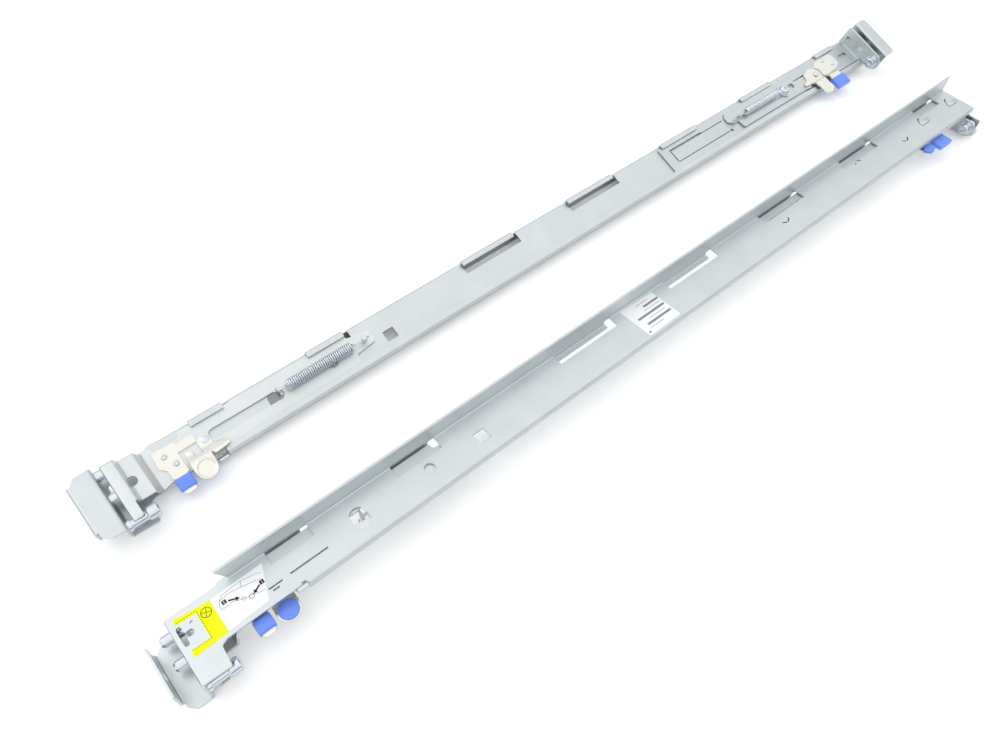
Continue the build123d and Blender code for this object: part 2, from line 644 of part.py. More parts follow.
def labels():
    """Bare paper labels on the inner side of the web: yellow, white, and one mid-way."""
    z = (-sheet - label_thick, -sheet)
    yellow = slab([(4.3, 4.0), (24.4, 6.5), (24.0, 27.6), (4.5, 28.4)], *z)
    yellow -= slab([(1.0, 7.4), (15.6, 7.9), (15.4, 24.4), (1.0, 24.0)], z[0] - 1, z[1] + 1)
    white = slab([(24.6, 6.5), (56.0, 5.8), (48.6, 26.5), (24.2, 27.6)], *z)
    m = middle
    web = slab([(m - 32.5, 2.8), (m - 2.5, 3.2), (m - 0.5, 29.4), (m - 30.5, 30.0)], *z)
    return yellow, white, web


def rail_parts():
    """Every piece of one rail in the rail's own frame."""
    stud, barrel = receiver()
    screw, washer = guide_screw()
    return {
        "main_rail": main_rail(),
        "receiver_stud": stud,
        "receiver_barrel": barrel,
        "travel_pin": travel_pin(),
        "front_slide": front_slide(),
        "front_pins": pins(pin_flange_x, -1),
        "front_latch_plate": latch_plate(),
        "front_rivets": rivets(rivets_at, slide_top + lever_sheet),
        "front_grip": grip(grip_x, grip_y, grip_step, 60),
        "front_lever_pivot": lever_pivot(pivot_at, slide_top, slide_top + latch_gap + lever_sheet),
        "front_thumb_lever": thumb_lever(),
        "front_thumb_pad": thumb_pad(),
        "front_spring": front_spring(),
        "rear_extension": rear_extension(),
        "rear_slide": rear_slide(),
        "rear_pins": pins(rear_flange + plate, 1),
        "rear_screw": rear_screw(),
        "guide_screw": screw,
        "guide_washer": washer,
        "rear_spring": rear_spring(),
        "rear_latch_plate": rear_latch_plate(),
        "rear_rivets": rivets(rear_rivets_at, upper_top + lever_sheet),
        "rear_grip": grip(rear_grip_x, rear_grip_y, over_z + grip_wall, rear_grip_y[1] - 1.2),
        "rear_lever_pivot": lever_pivot(rear_pivot_at, upper_top, upper_top + latch_gap + lever_sheet),
        "rear_thumb_lever": rear_thumb_lever(),
        "rear_thumb_pad": rear_thumb_pad(),
    }


# The left rail leans on its shelf edge and on the highest corner of its head
lean = degrees(atan2(shelf_depth - sheet, head_top - sheet))
rest = shelf_depth * cos(radians(lean)) + sheet * sin(radians(lean))
near = web_height * cos(radians(lean))
turned = Rot(180, 0, 0)
right_place = Pos(pair_shift, -pair_gap, end_height) * turned
left_place = Pos(0, near, rest) * Rot(lean, 0, 0) * turned


def solids_of(piece):
    return [s for p in (piece if isinstance(piece, list) else [piece]) for s in p.solids()]


pair = {}
for name, piece in rail_parts().items():
    pair["right_" + name] = [right_place * s for s in solids_of(piece)]
    pair["left_" + name] = [left_place * mirror(s, about=Plane.XY) for s in solids_of(piece)]
for name, piece in zip(["window_label", "head_label", "web_label"], labels()):
    pair["right_" + name] = [right_place * s for s in solids_of(piece)]

# Origin: middle of the base of the pair
box = Compound([s for solids in pair.values() for s in solids]).bounding_box()
centre = Pos(-(box.min.X + box.max.X) / 2, -(box.min.Y + box.max.Y) / 2, -box.min.Z)

os.makedirs("parts", exist_ok=True)
for name, solids in pair.items():
    placed = [centre * s for s in solids]
    export_step(placed[0] if len(placed) == 1 else Compound(children=placed), f"parts/{name}.step")
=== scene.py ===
# %% [markdown]
# # A pair of sliding rack rails
# The object is a handed pair of rails that carry a server in a rack. Each rail is one bent sheet of
# zinc-plated steel with spring-loaded pin slides at both ends. A CAD model gives every solid its
# place, and this lesson gives the solids their finishes and makes anew what the model leaves plain:
# wound springs, folded stampings with their rivets, pin stakes, and the printing on the labels.

# %% Setup
import math

import bmesh
import bpy
from mathutils import Matrix, Vector


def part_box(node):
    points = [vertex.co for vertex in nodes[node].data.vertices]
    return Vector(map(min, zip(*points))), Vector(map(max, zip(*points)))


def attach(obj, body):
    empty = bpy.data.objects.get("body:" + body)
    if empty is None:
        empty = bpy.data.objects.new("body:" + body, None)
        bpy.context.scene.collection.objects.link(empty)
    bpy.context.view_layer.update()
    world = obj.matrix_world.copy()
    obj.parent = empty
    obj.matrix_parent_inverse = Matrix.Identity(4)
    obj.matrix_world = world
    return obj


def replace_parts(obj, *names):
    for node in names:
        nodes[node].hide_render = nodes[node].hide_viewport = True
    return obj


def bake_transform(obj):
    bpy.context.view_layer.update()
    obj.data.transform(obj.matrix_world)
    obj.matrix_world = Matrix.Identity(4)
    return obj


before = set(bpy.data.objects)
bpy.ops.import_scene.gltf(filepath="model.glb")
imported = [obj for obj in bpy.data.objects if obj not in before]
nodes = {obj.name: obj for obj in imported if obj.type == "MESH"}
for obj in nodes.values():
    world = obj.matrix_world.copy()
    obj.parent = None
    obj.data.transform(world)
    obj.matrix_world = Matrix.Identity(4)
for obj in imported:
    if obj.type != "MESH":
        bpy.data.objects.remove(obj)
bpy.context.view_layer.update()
mm = 0.001  # metres in a millimetre
print("CAD nodes:", len(nodes))


# %% [markdown]
# ## Where a rail stands
# Both rails share one set of drawing dimensions: X runs from the front end to the rear end, Y up the
# web and Z out of the web. The left rail leans on its shelf edge and its head, and the right one lies
# on its end plates. One matrix per side carries a piece from the drawing to its place. The left
# matrix also mirrors, because the rails are a handed pair. Working in the drawing's millimetres and
# placing each mesh at the end keeps the numbers readable.

# %% Matrices from the drawing to the scene
def place(shift, across, lift, lean, outward):
    """Matrix for one rail; outward is 1 for the mirrored rail and -1 for the turned one."""
    return (Matrix.Translation(Vector((shift, across, lift)) * mm) @ Matrix.Rotation(lean, 4, "X")
            @ Matrix.Diagonal((mm, -mm, outward * mm, 1.0)))


web_length, web_height, shelf_depth, sheet = 733.0, 32.2, 15.0, 1.4
head_top, end_height = 43.9, 21.4
lean = math.atan2(shelf_depth - sheet, head_top - sheet)
rest = shelf_depth * math.cos(lean) + sheet * math.sin(lean)
# origin of the right rail and middle of the pair, both measured on the table
right_x, right_y = -7.8, -76.2
centre_x, centre_y = 360.35, -42.505
places = {
    "left": place(-centre_x, web_height * math.cos(lean) - centre_y, rest, lean, 1),
    "right": place(right_x - centre_x, right_y - centre_y, end_height, 0.0, -1),
}
# heights of the lower and of the upper plate's face over the web
slide_top, upper_top = 1.9, 3.8
for side, matrix in places.items():
    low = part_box(f"{side}_main_rail")[0]
    origin = [round(v / mm, 2) for v in matrix @ Vector((0, 0, 0))]
    print(side, "rail from x", round(low.x / mm, 2), "mm, drawing origin at", origin)

# %% [markdown]
# ## Camera
# A photograph's camera can be found from known points on the object. Here the pin spacing, the rail
# edges and the tab ends gave one lens, height, pitch and roll. The matrix is written from those
# angles, so that each number can be read.

# %% Camera
pitch, roll, heading = math.radians(54.839), math.radians(-2.641), math.radians(42.128)
forward = Vector((math.cos(pitch) * math.sin(heading), math.cos(pitch) * math.cos(heading), -math.sin(pitch)))
level = Vector((math.cos(heading), -math.sin(heading), 0))
down = forward.cross(level)
across = math.cos(roll) * level + math.sin(roll) * down
below = -math.sin(roll) * level + math.cos(roll) * down
sensor_width, focal_length = 36.0, 28.906
# place of the lens, measured on the same table and above it
eye = (31.49, -286.6, 442.08)
lens = bpy.data.cameras.new("photo_camera")
lens.sensor_fit, lens.sensor_width, lens.lens = "HORIZONTAL", sensor_width, focal_length
lens.clip_start, lens.clip_end = 0.01, 50
camera = bpy.data.objects.new("photo_camera", lens)
camera.matrix_world = Matrix((across, -below, -forward)).transposed().to_4x4()
camera.location = Vector((eye[0] - centre_x, eye[1] - centre_y, eye[2])) * mm
bpy.context.scene.collection.objects.link(camera)
bpy.context.scene.camera = camera
print("camera at", [round(v, 4) for v in camera.location])


# %% [markdown]
# ## Three helpers
# Colours are picked on screen as sRGB, but a renderer counts in linear light, so one function turns a
# hex value to linear. Another adds a shader node with its settings and its links in one line, which
# keeps a material as short as a recipe, and a third starts an empty material. Sockets that share a
# name are given by their number. A colour mix has its factor at 0 and its colours at 6 and 7, and the
# mixed colour comes out at 2. A map range has its value at 0, then the limits that it maps from at 1
# and 2 and the limits that it maps to at 3 and 4.

# %% Helpers for colours and nodes
def colour(code):
    channels = [int(code[i:i + 2], 16) / 255 for i in (1, 3, 5)]
    return tuple(c / 12.92 if c < 0.04045 else ((c + 0.055) / 1.055) ** 2.4 for c in channels) + (1.0,)


def add(tree, kind, inputs=None, **settings):
    """One node; inputs maps a socket to a value or to another node's output."""
    node = tree.nodes.new(kind)
    for name, value in settings.items():
        setattr(node, name, value)
    for socket, value in (inputs or {}).items():
        if isinstance(value, bpy.types.NodeSocket):
            tree.links.new(value, node.inputs[socket])
        else:
            node.inputs[socket].default_value = value
    return node


def new_material(name):
    material = bpy.data.materials.new(name)
    material.use_nodes = True
    material.node_tree.nodes.clear()
    return material, material.node_tree


print("middle grey in linear light:", round(colour("#808080")[0], 3))


# %% [markdown]
# ## Floor and light
# The rails lie on white paper under soft studio light. Metal shows what stands around it, so the
# world does most of the work: it is bright overhead and darker near the horizon, which draws the dark
# lines along round pins and bent edges. A wide sun lamp from behind and above gives the soft shadow.
# Two things are for the eye alone and light nothing: a faint glow that lifts the paper to white, and
# a white backdrop in the place of the dark horizon.

# %% Floor
paper_floor, tree = new_material("matt_white_floor")
seen = add(tree, "ShaderNodeLightPath")
matt = add(tree, "ShaderNodeBsdfDiffuse", {"Color": colour("#f6f6f6")})
glow = add(tree, "ShaderNodeEmission", {"Color": (1, 1, 1, 1), "Strength": 0.20})
dark = add(tree, "ShaderNodeEmission", {"Color": (0, 0, 0, 1), "Strength": 0.0})
lift = add(tree, "ShaderNodeMixShader",
           {0: seen.outputs["Is Camera Ray"], 1: dark.outputs[0], 2: glow.outputs[0]})
both = add(tree, "ShaderNodeAddShader", {0: matt.outputs[0], 1: lift.outputs[0]})
add(tree, "ShaderNodeOutputMaterial", {"Surface": both.outputs[0]})

half_floor = 4.0
bm = bmesh.new()
bmesh.ops.create_grid(bm, x_segments=1, y_segments=1, size=half_floor)
mesh = bpy.data.meshes.new("floor")
bm.to_mesh(mesh)
bm.free()
floor = bpy.data.objects.new("floor", mesh)
floor.data.materials.append(paper_floor)
bpy.context.scene.collection.objects.link(floor)
print("floor half as wide as", half_floor, "m")

# %% World and sun
world = bpy.data.worlds.new("soft_studio")
bpy.context.scene.world = world
world.use_nodes = True
tree = world.node_tree
tree.nodes.clear()
direction = add(tree, "ShaderNodeTexCoord")
height = add(tree, "ShaderNodeSeparateXYZ", {0: direction.outputs["Generated"]})
ramp = add(tree, "ShaderNodeValToRGB", {"Fac": height.outputs["Z"]})
ramp.color_ramp.elements[0].position, ramp.color_ramp.elements[0].color = 0.0, colour("#14171a")
ramp.color_ramp.elements[1].position, ramp.color_ramp.elements[1].color = 1.0, colour("#ffffff")
for at, tone in ((0.12, "#565c5f"), (0.21, "#c6cccd"), (0.36, "#eceff0")):
    ramp.color_ramp.elements.new(at).color = colour(tone)
sky = add(tree, "ShaderNodeBackground", {"Color": ramp.outputs["Color"], "Strength": 1.14})
backdrop = add(tree, "ShaderNodeBackground", {"Color": (1, 1, 1, 1), "Strength": 1.0})
seen = add(tree, "ShaderNodeLightPath")
behind = add(tree, "ShaderNodeMixShader",
             {0: seen.outputs["Is Camera Ray"], 1: sky.outputs[0], 2: backdrop.outputs[0]})
add(tree, "ShaderNodeOutputWorld", {"Surface": behind.outputs[0]})

sun = bpy.data.lights.new("wide_sun", "SUN")
sun.energy, sun.angle = 0.42, math.radians(50)
lamp = bpy.data.objects.new("wide_sun", sun)
to_sun = Vector((-0.75, 0.75, 1.0))
lamp.rotation_euler = to_sun.to_track_quat("Z", "Y").to_euler()
bpy.context.scene.collection.objects.link(lamp)
bpy.context.scene.view_settings.view_transform = "Standard"
print("tones of the sky:", len(ramp.color_ramp.elements))
print("width of the sun in degrees:", round(math.degrees(sun.angle)))


# %% [markdown]
# ## Zinc-plated sheet
# The rails are pressed from cold-rolled steel and zinc-plated: a pale, slightly blue grey with a
# satin face. Rolling leaves faint lines along the sheet, and plating leaves soft cloudy patches and a
# fine grain. Along the cut edges a bevel mask mixes in a paler colour, a painted highlight, without
# changing the mesh.

# %% Zinc-plated sheet, rolled and satin
def zinc_sheet(name, tone, cloudy, rough):
    material, tree = new_material(name)
    where = add(tree, "ShaderNodeTexCoord")
    drawn_out = add(tree, "ShaderNodeMapping", {"Vector": where.outputs["Object"], "Scale": (0.03, 1.0, 1.0)})
    # rolling lines about 0.5 mm apart, coarser than the real ones so that they show
    lines = add(tree, "ShaderNodeTexNoise", {"Vector": drawn_out.outputs[0], "Scale": 1 / (0.5 * mm),
                                             "Detail": 3.0, "Roughness": 0.6})
    # plating clouds about 22 mm across
    clouds = add(tree, "ShaderNodeTexNoise", {"Vector": where.outputs["Object"], "Scale": 1 / (22 * mm),
                                              "Detail": 4.0, "Roughness": 0.55})
    # plating grain about 0.6 mm across
    grain = add(tree, "ShaderNodeTexNoise", {"Vector": where.outputs["Object"], "Scale": 1 / (0.6 * mm),
                                             "Detail": 2.0})
    patch = add(tree, "ShaderNodeMapRange", {0: clouds.outputs["Fac"], 1: 0.3, 2: 0.7, 3: 0.0, 4: 1.0})
    tint = add(tree, "ShaderNodeMix", {0: patch.outputs[0], 6: colour(tone), 7: colour(cloudy)},
               data_type="RGBA")
    # the normal rounded over 0.35 mm differs from the face's own one only along an edge
    edge_normal = add(tree, "ShaderNodeBevel", {"Radius": 0.35 * mm}, samples=4)
    face = add(tree, "ShaderNodeNewGeometry")
    turn = add(tree, "ShaderNodeVectorMath", {0: edge_normal.outputs[0], 1: face.outputs["Normal"]},
               operation="DOT_PRODUCT")
    edge = add(tree, "ShaderNodeMapRange", {0: turn.outputs["Value"], 1: 0.995, 2: 0.9, 3: 0.0, 4: 1.0})
    # painted highlight: a paler colour mixed into the base colour along the cut edges
    bright = add(tree, "ShaderNodeMix", {0: edge.outputs[0], 6: tint.outputs[2], 7: colour("#eef2f2")},
                 data_type="RGBA")
    dull = add(tree, "ShaderNodeMapRange",
               {0: lines.outputs["Fac"], 1: 0.2, 2: 0.8, 3: rough - 0.05, 4: rough + 0.06})
    relief = add(tree, "ShaderNodeMix", {0: 0.35, 2: lines.outputs["Fac"], 3: grain.outputs["Fac"]})
    bump = add(tree, "ShaderNodeBump", {"Height": relief.outputs[0], "Strength": 0.10, "Distance": 0.05 * mm,
                                        "Normal": edge_normal.outputs[0]})
    shader = add(tree, "ShaderNodeBsdfPrincipled", {"Base Color": bright.outputs[2], "Metallic": 1.0,
                                                    "Roughness": dull.outputs[0], "Normal": bump.outputs[0]})
    add(tree, "ShaderNodeOutputMaterial", {"Surface": shader.outputs[0]})
    return material


finishes = {
    "rail": zinc_sheet("zinc_plated_rail_sheet", "#d1d7d9", "#d8dddf", 0.40),
    "plate": zinc_sheet("zinc_plated_extension_plate", "#ccd2d3", "#d3d8d9", 0.36),
    "slide": zinc_sheet("zinc_plated_slide_plate", "#dadfe0", "#e0e3e3", 0.46),
}
print("sheet finishes:", len(finishes))


# %% [markdown]
# ## Nickel-plated latch parts
# The latch plates and thumb levers are stamped from thin steel and nickel-plated, which makes them
# warmer and brighter than the zinc. Stamping and tumbling leave short fine scratches in every
# direction, so the pattern has no grain along the rail.

# %% Nickel-plated stampings
nickel, tree = new_material("nickel_plated_stamping")
where = add(tree, "ShaderNodeTexCoord")
# patches of tone about 9 mm across
patches = add(tree, "ShaderNodeTexNoise",
              {"Vector": where.outputs["Object"], "Scale": 1 / (9 * mm), "Detail": 3.0})
tint = add(tree, "ShaderNodeMix", {0: patches.outputs["Fac"], 6: colour("#e9e7dd"), 7: colour("#eeede6")},
           data_type="RGBA")
# scratches: two stretched noises at an angle to each other, about 0.4 mm apart
one = add(tree, "ShaderNodeMapping",
          {"Vector": where.outputs["Object"], "Rotation": (0, 0, 0.6), "Scale": (0.06, 1, 1)})
two = add(tree, "ShaderNodeMapping",
          {"Vector": where.outputs["Object"], "Rotation": (0, 0, -0.9), "Scale": (0.06, 1, 1)})
first = add(tree, "ShaderNodeTexNoise", {"Vector": one.outputs[0], "Scale": 1 / (0.4 * mm), "Detail": 2.0})
second = add(tree, "ShaderNodeTexNoise", {"Vector": two.outputs[0], "Scale": 1 / (0.4 * mm), "Detail": 2.0})
marks = add(tree, "ShaderNodeMath", {0: first.outputs["Fac"], 1: second.outputs["Fac"]}, operation="MAXIMUM")
dull = add(tree, "ShaderNodeMapRange", {0: marks.outputs[0], 1: 0.5, 2: 0.8, 3: 0.20, 4: 0.34})
edge_normal = add(tree, "ShaderNodeBevel", {"Radius": 0.3 * mm}, samples=4)
bump = add(tree, "ShaderNodeBump", {"Height": marks.outputs[0], "Strength": 0.12, "Distance": 0.04 * mm,
                                    "Normal": edge_normal.outputs[0]})
shader = add(tree, "ShaderNodeBsdfPrincipled", {"Base Color": tint.outputs[2], "Metallic": 1.0,
                                                "Roughness": dull.outputs[0], "Normal": bump.outputs[0]})
add(tree, "ShaderNodeOutputMaterial", {"Surface": shader.outputs[0]})
finishes["latch"] = nickel
print("latch finish:", nickel.name)

# %% [markdown]
# ## Bright zinc on turned and wound parts
# Pins, screws, washers and rivets are turned, springs are wound from wire, and all are bright
# zinc-plated. They reflect sharply with a blue cast. Turning leaves rings around a pin, which a wave
# along the rail's direction draws.

# %% Bright zinc, turned
bright_zinc, tree = new_material("bright_zinc_plated_turned")
where = add(tree, "ShaderNodeTexCoord")
# stains of the plating about 3 mm across
stain = add(tree, "ShaderNodeTexNoise",
            {"Vector": where.outputs["Object"], "Scale": 1 / (3 * mm), "Detail": 3.0})
tint = add(tree, "ShaderNodeMix", {0: stain.outputs["Fac"], 6: colour("#d3dbe3"), 7: colour("#e6eaef")},
           data_type="RGBA")
# a wave repeats about every 0.31 of its unit, so these faint rings are 3 mm apart, far coarser than
# real turning marks, so that they show
rings = add(tree, "ShaderNodeTexWave", {"Vector": where.outputs["Object"], "Scale": 1 / (10 * mm),
                                        "Distortion": 0.4}, bands_direction="X")
dull = add(tree, "ShaderNodeMapRange", {0: stain.outputs["Fac"], 1: 0.3, 2: 0.7, 3: 0.07, 4: 0.16})
edge_normal = add(tree, "ShaderNodeBevel", {"Radius": 0.2 * mm}, samples=4)
bump = add(tree, "ShaderNodeBump", {"Height": rings.outputs["Fac"], "Strength": 0.08, "Distance": 0.03 * mm,
                                    "Normal": edge_normal.outputs[0]})
shader = add(tree, "ShaderNodeBsdfPrincipled", {"Base Color": tint.outputs[2], "Metallic": 1.0,
                                                "Roughness": dull.outputs[0], "Normal": bump.outputs[0]})
add(tree, "ShaderNodeOutputMaterial", {"Surface": shader.outputs[0]})
finishes["bright"] = bright_zinc
print("turned finish:", bright_zinc.name)

# %% [markdown]
# ## Blue moulded pads
# The touch points are moulded polyamide in a clear blue, satin, with a fine spark-eroded grain from
# the mould. Their rounded corners catch a bright glare, which the edge mask paints in as a whitish blue,
# a painted highlight.

# %% Blue polyamide, moulded
blue, tree = new_material("blue_polyamide_moulded")
where = add(tree, "ShaderNodeTexCoord")
# slow change of tone, about 6 mm across
tone = add(tree, "ShaderNodeTexNoise",
           {"Vector": where.outputs["Object"], "Scale": 1 / (6 * mm), "Detail": 2.0})
tint = add(tree, "ShaderNodeMix", {0: tone.outputs["Fac"], 6: colour("#648bf6"), 7: colour("#7399fa")},
           data_type="RGBA")
edge_normal = add(tree, "ShaderNodeBevel", {"Radius": 0.7 * mm}, samples=6)
face = add(tree, "ShaderNodeNewGeometry")
turn = add(tree, "ShaderNodeVectorMath", {0: edge_normal.outputs[0], 1: face.outputs["Normal"]},
           operation="DOT_PRODUCT")
edge = add(tree, "ShaderNodeMapRange", {0: turn.outputs["Value"], 1: 0.97, 2: 0.75, 3: 0.0, 4: 0.8})
# painted highlight: the glare on the rounded corners, mixed into the base colour as a whitish blue
painted_corner_highlight = add(tree, "ShaderNodeMix", {0: edge.outputs[0], 6: tint.outputs[2], 7: colour("#e6ebf7")},
           data_type="RGBA")
# spark-eroded grain 0.35 mm across
grain = add(tree, "ShaderNodeTexNoise",
            {"Vector": where.outputs["Object"], "Scale": 1 / (0.35 * mm), "Detail": 2.0})
bump = add(tree, "ShaderNodeBump", {"Height": grain.outputs["Fac"], "Strength": 0.25, "Distance": 0.05 * mm,
                                    "Normal": edge_normal.outputs[0]})
shader = add(tree, "ShaderNodeBsdfPrincipled", {"Base Color": painted_corner_highlight.outputs[2], "Roughness": 0.42, "IOR": 1.53,
                                                "Normal": bump.outputs[0]})
add(tree, "ShaderNodeOutputMaterial", {"Surface": shader.outputs[0]})
finishes["pad"] = blue
print("pad finish:", blue.name)


# %% [markdown]
# ## Labels
# The labels are coated paper, one printed yellow and two white. Coated paper is nearly flat, with
# a faint fibre and a soft shine. Printing ink sinks in and keeps the paper's face, so the inks are
# the same recipe in black and grey.

# %% Coated paper
def coated_paper(name, tone, shade):
    material, tree = new_material(name)
    where = add(tree, "ShaderNodeTexCoord")
    # fibres about 0.5 mm across
    fibre = add(tree, "ShaderNodeTexNoise",
                {"Vector": where.outputs["Object"], "Scale": 1 / (0.5 * mm), "Detail": 4.0})
    tint = add(tree, "ShaderNodeMix", {0: fibre.outputs["Fac"], 6: colour(shade), 7: colour(tone)},
               data_type="RGBA")
    bump = add(tree, "ShaderNodeBump",
               {"Height": fibre.outputs["Fac"], "Strength": 0.1, "Distance": 0.03 * mm})
    shader = add(tree, "ShaderNodeBsdfPrincipled", {"Base Color": tint.outputs[2], "Roughness": 0.5,
                                                    "Specular IOR Level": 0.2, "Normal": bump.outputs[0]})
    add(tree, "ShaderNodeOutputMaterial", {"Surface": shader.outputs[0]})
    return material


finishes["yellow"] = coated_paper("yellow_coated_paper", "#f6f80c", "#eef106")
finishes["white"] = coated_paper("white_coated_paper", "#fafafb", "#f4f4f6")
finishes["ink"] = coated_paper("black_printing_ink", "#2a2a2e", "#1f1f22")
finishes["grey"] = coated_paper("grey_printing_ink", "#8b8f9c", "#7f8390")
print("finishes in all:", len(finishes))

# %% Finish of every CAD node
kinds = {"main_rail": "rail", "rear_extension": "plate", "front_slide": "slide", "rear_slide": "plate",
         "front_latch_plate": "latch", "front_thumb_lever": "latch", "rear_latch_plate": "latch",
         "rear_thumb_lever": "latch", "front_grip": "pad", "front_thumb_pad": "pad", "rear_grip": "pad",
         "rear_thumb_pad": "pad", "window_label": "yellow", "head_label": "white", "web_label": "white"}
for name, piece in nodes.items():
    # what the table leaves out, such as pins, screws, springs and rivets, is bright zinc
    finish = finishes[kinds.get(name.split("_", 1)[1], "bright")]
    piece.data.materials.clear()
    piece.data.materials.append(finish)
print("dressed nodes:", len(nodes))


# %% [markdown]
# ## From the drawing to a finished piece
# Every new piece is modelled in the drawing's millimetres. This helper places its mesh, turns the
# faces out again where the left matrix has mirrored them, marks the sharp edges and lets the piece
# ride on a body. A spring gets no body here, because it stretches between two.

# %% Helper that finishes a piece
sharp = math.radians(35)
print("edges that turn by more than", round(math.degrees(sharp)), "degrees are drawn sharp")


def piece_from(bm, name, side, body, finish):
    """Object made from a mesh in the drawing's millimetres."""
    bmesh.ops.remove_doubles(bm, verts=bm.verts[:], dist=1e-4)
    bmesh.ops.recalc_face_normals(bm, faces=bm.faces[:])
    bm.transform(places[side])
    if side == "left":
        bmesh.ops.reverse_faces(bm, faces=bm.faces[:])
    for face in bm.faces:
        face.smooth = True
    for edge in bm.edges:
        edge.smooth = edge.calc_face_angle(0.0) < sharp
    mesh = bpy.data.meshes.new(f"{side}_{name}")
    bm.to_mesh(mesh)
    bm.free()
    mesh.materials.append(finishes[finish])
    piece = bpy.data.objects.new(mesh.name, mesh)
    bpy.context.scene.collection.objects.link(piece)
    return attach(piece, body) if body else piece


# %% [markdown]
# ## Sheet parts: cut flat, then folded
# A press cuts a blank with all its holes and then folds it. The mesh is made the same way: the
# outline and the holes are filled as one flat face, the blank is cut across where the bends begin
# and end, thickened, and each point is then carried from its distance along the blank to its place
# on the folded section. So an edge runs true round every bend.

# %% Helpers for outlines and folded sections
nearly_straight = 1.56


def rounded(points, radii, steps=5):
    """Outline with its corners rounded by tangent arcs; half is half of a corner's angle."""
    out = []
    for i, (corner, r) in enumerate(zip(points, radii)):
        p = Vector(corner)
        a, b = Vector(points[i - 1]) - p, Vector(points[(i + 1) % len(points)]) - p
        half = a.angle(b) / 2
        if r == 0 or half > nearly_straight:
            out.append(p)
            continue
        middle = p + (a.normalized() + b.normalized()).normalized() * (r / math.sin(half))
        reach = r / math.tan(half)
        first, last = p + a.normalized() * reach - middle, p + b.normalized() * reach - middle
        turn = first.angle_signed(last)
        for k in range(steps + 1):
            out.append(middle + first @ Matrix.Rotation(turn * k / steps, 2))
    return out


def round_hole(x, y, r, sides=28):
    """Points of a drilled hole."""
    return [Vector((x + r * math.cos(2 * math.pi * k / sides), y + r * math.sin(2 * math.pi * k / sides)))
            for k in range(sides)]


def folded(path, radius, steps=4):
    """Folded section as points with their distance along it; the ends stay sharp."""
    bends = rounded(path, [0] + [radius] * (len(path) - 2) + [0], steps)[1:-1]
    line = [Vector(path[0])] + bends + [Vector(path[-1])]
    far, out = 0.0, []
    for i, point in enumerate(line):
        far += (point - line[i - 1]).length if i else 0.0
        out.append((far, point))
    return out


def along(section, u):
    """Distance along a section at which its first coordinate reaches u for the last time."""
    for (s0, p0), (s1, p1) in reversed(list(zip(section, section[1:]))):
        if p0.x - 1e-9 <= u <= p1.x + 1e-9 and p1.x > p0.x:
            return s0 + (s1 - s0) * (u - p0.x) / (p1.x - p0.x)
    raise ValueError(u)


# %% Helper that folds a blank
def blank(loops, thick, section, across=False):
    """Sheet part; loops give distance along the section and place across it."""
    bm = bmesh.new()
    for loop in loops:
        verts = [bm.verts.new((p[0], p[1], 0.0)) for p in loop]
        for i, vert in enumerate(verts):
            bm.edges.new((verts[i - 1], vert))
    bmesh.ops.triangle_fill(bm, edges=bm.edges[:], use_beauty=True, use_dissolve=False)
    for bend_at, _ in section[1:-1]:
        bmesh.ops.bisect_plane(bm, geom=bm.verts[:] + bm.edges[:] + bm.faces[:], plane_co=(bend_at, 0, 0),
                               plane_no=(1, 0, 0), dist=1e-5)
    grown = bmesh.ops.extrude_face_region(bm, geom=bm.faces[:])["geom"]
    bmesh.ops.translate(bm, vec=(0, 0, thick), verts=[g for g in grown if isinstance(g, bmesh.types.BMVert)])
    for vert in bm.verts:
        s, y, depth = vert.co
        i = max(k for k in range(len(section) - 1) if section[k][0] <= s + 1e-4 or k == 0)
        (s0, p0), (s1, p1) = section[i], section[i + 1]
        ahead = (p1 - p0).normalized()
        # at a bend's own points the depth follows the mean of the two directions
        back = (p0 - section[i - 1][1]).normalized() if i and abs(s - s0) < 1e-3 else ahead
        mean = (ahead + back).normalized()
        at = p0.lerp(p1, (s - s0) / (s1 - s0)) + Vector((mean.y, -mean.x)) * depth / max(mean.dot(ahead), 0.3)
        vert.co = (y, at.x, at.y) if across else (at.x, y, at.y)
    return bm


# %% [markdown]
# ## Turned pieces and blocks
# A rivet's head has the round form that a lathe gives, so its mesh is a profile spun about an axis. A
# post, a moulded sleeve or a stake is a block, with its edges rounded because no real edge is quite
# sharp and a rounded one catches the light.

# %% Helpers for turned pieces and blocks
def lathe(bm, profile, centre, steps=32):
    """Turned piece; profile gives radius and height over the centre."""
    verts = [bm.verts.new(Vector(centre) + Vector((r, 0, h))) for r, h in profile]
    edges = [bm.edges.new(pair) for pair in zip(verts, verts[1:])]
    bmesh.ops.spin(bm, geom=verts + edges, cent=centre, axis=(0, 0, 1), angle=2 * math.pi, steps=steps,
                   use_merge=True, use_duplicate=False)
    return bm


def brick(bm, x, y, z, edge, segments=3):
    """Block given by its ranges, with rounded edges."""
    middle = Vector([(low + high) / 2 for low, high in (x, y, z)])
    span = [high - low for low, high in (x, y, z)]
    made = bmesh.ops.create_cube(bm, size=1.0)["verts"]
    for vert in made:
        vert.co = middle + Vector([c * s for c, s in zip(vert.co, span)])
    sides = list({e for v in made for e in v.link_edges})
    bmesh.ops.bevel(bm, geom=sides, offset=edge, segments=segments, profile=0.5, affect="EDGES", material=-1)
    return bm


# %% [markdown]
# ## Front slide
# The slide is one plate: a flange that carries the two pins, a short fold at its top, a lower hat
# behind it and a long flat bed. The bed has a slot for the rail's spring tab, and a small post for
# the spring's rear end. The CAD model's hat is taller than the real one, so the plate is made anew
# from its folded section, with the hat at its real height.

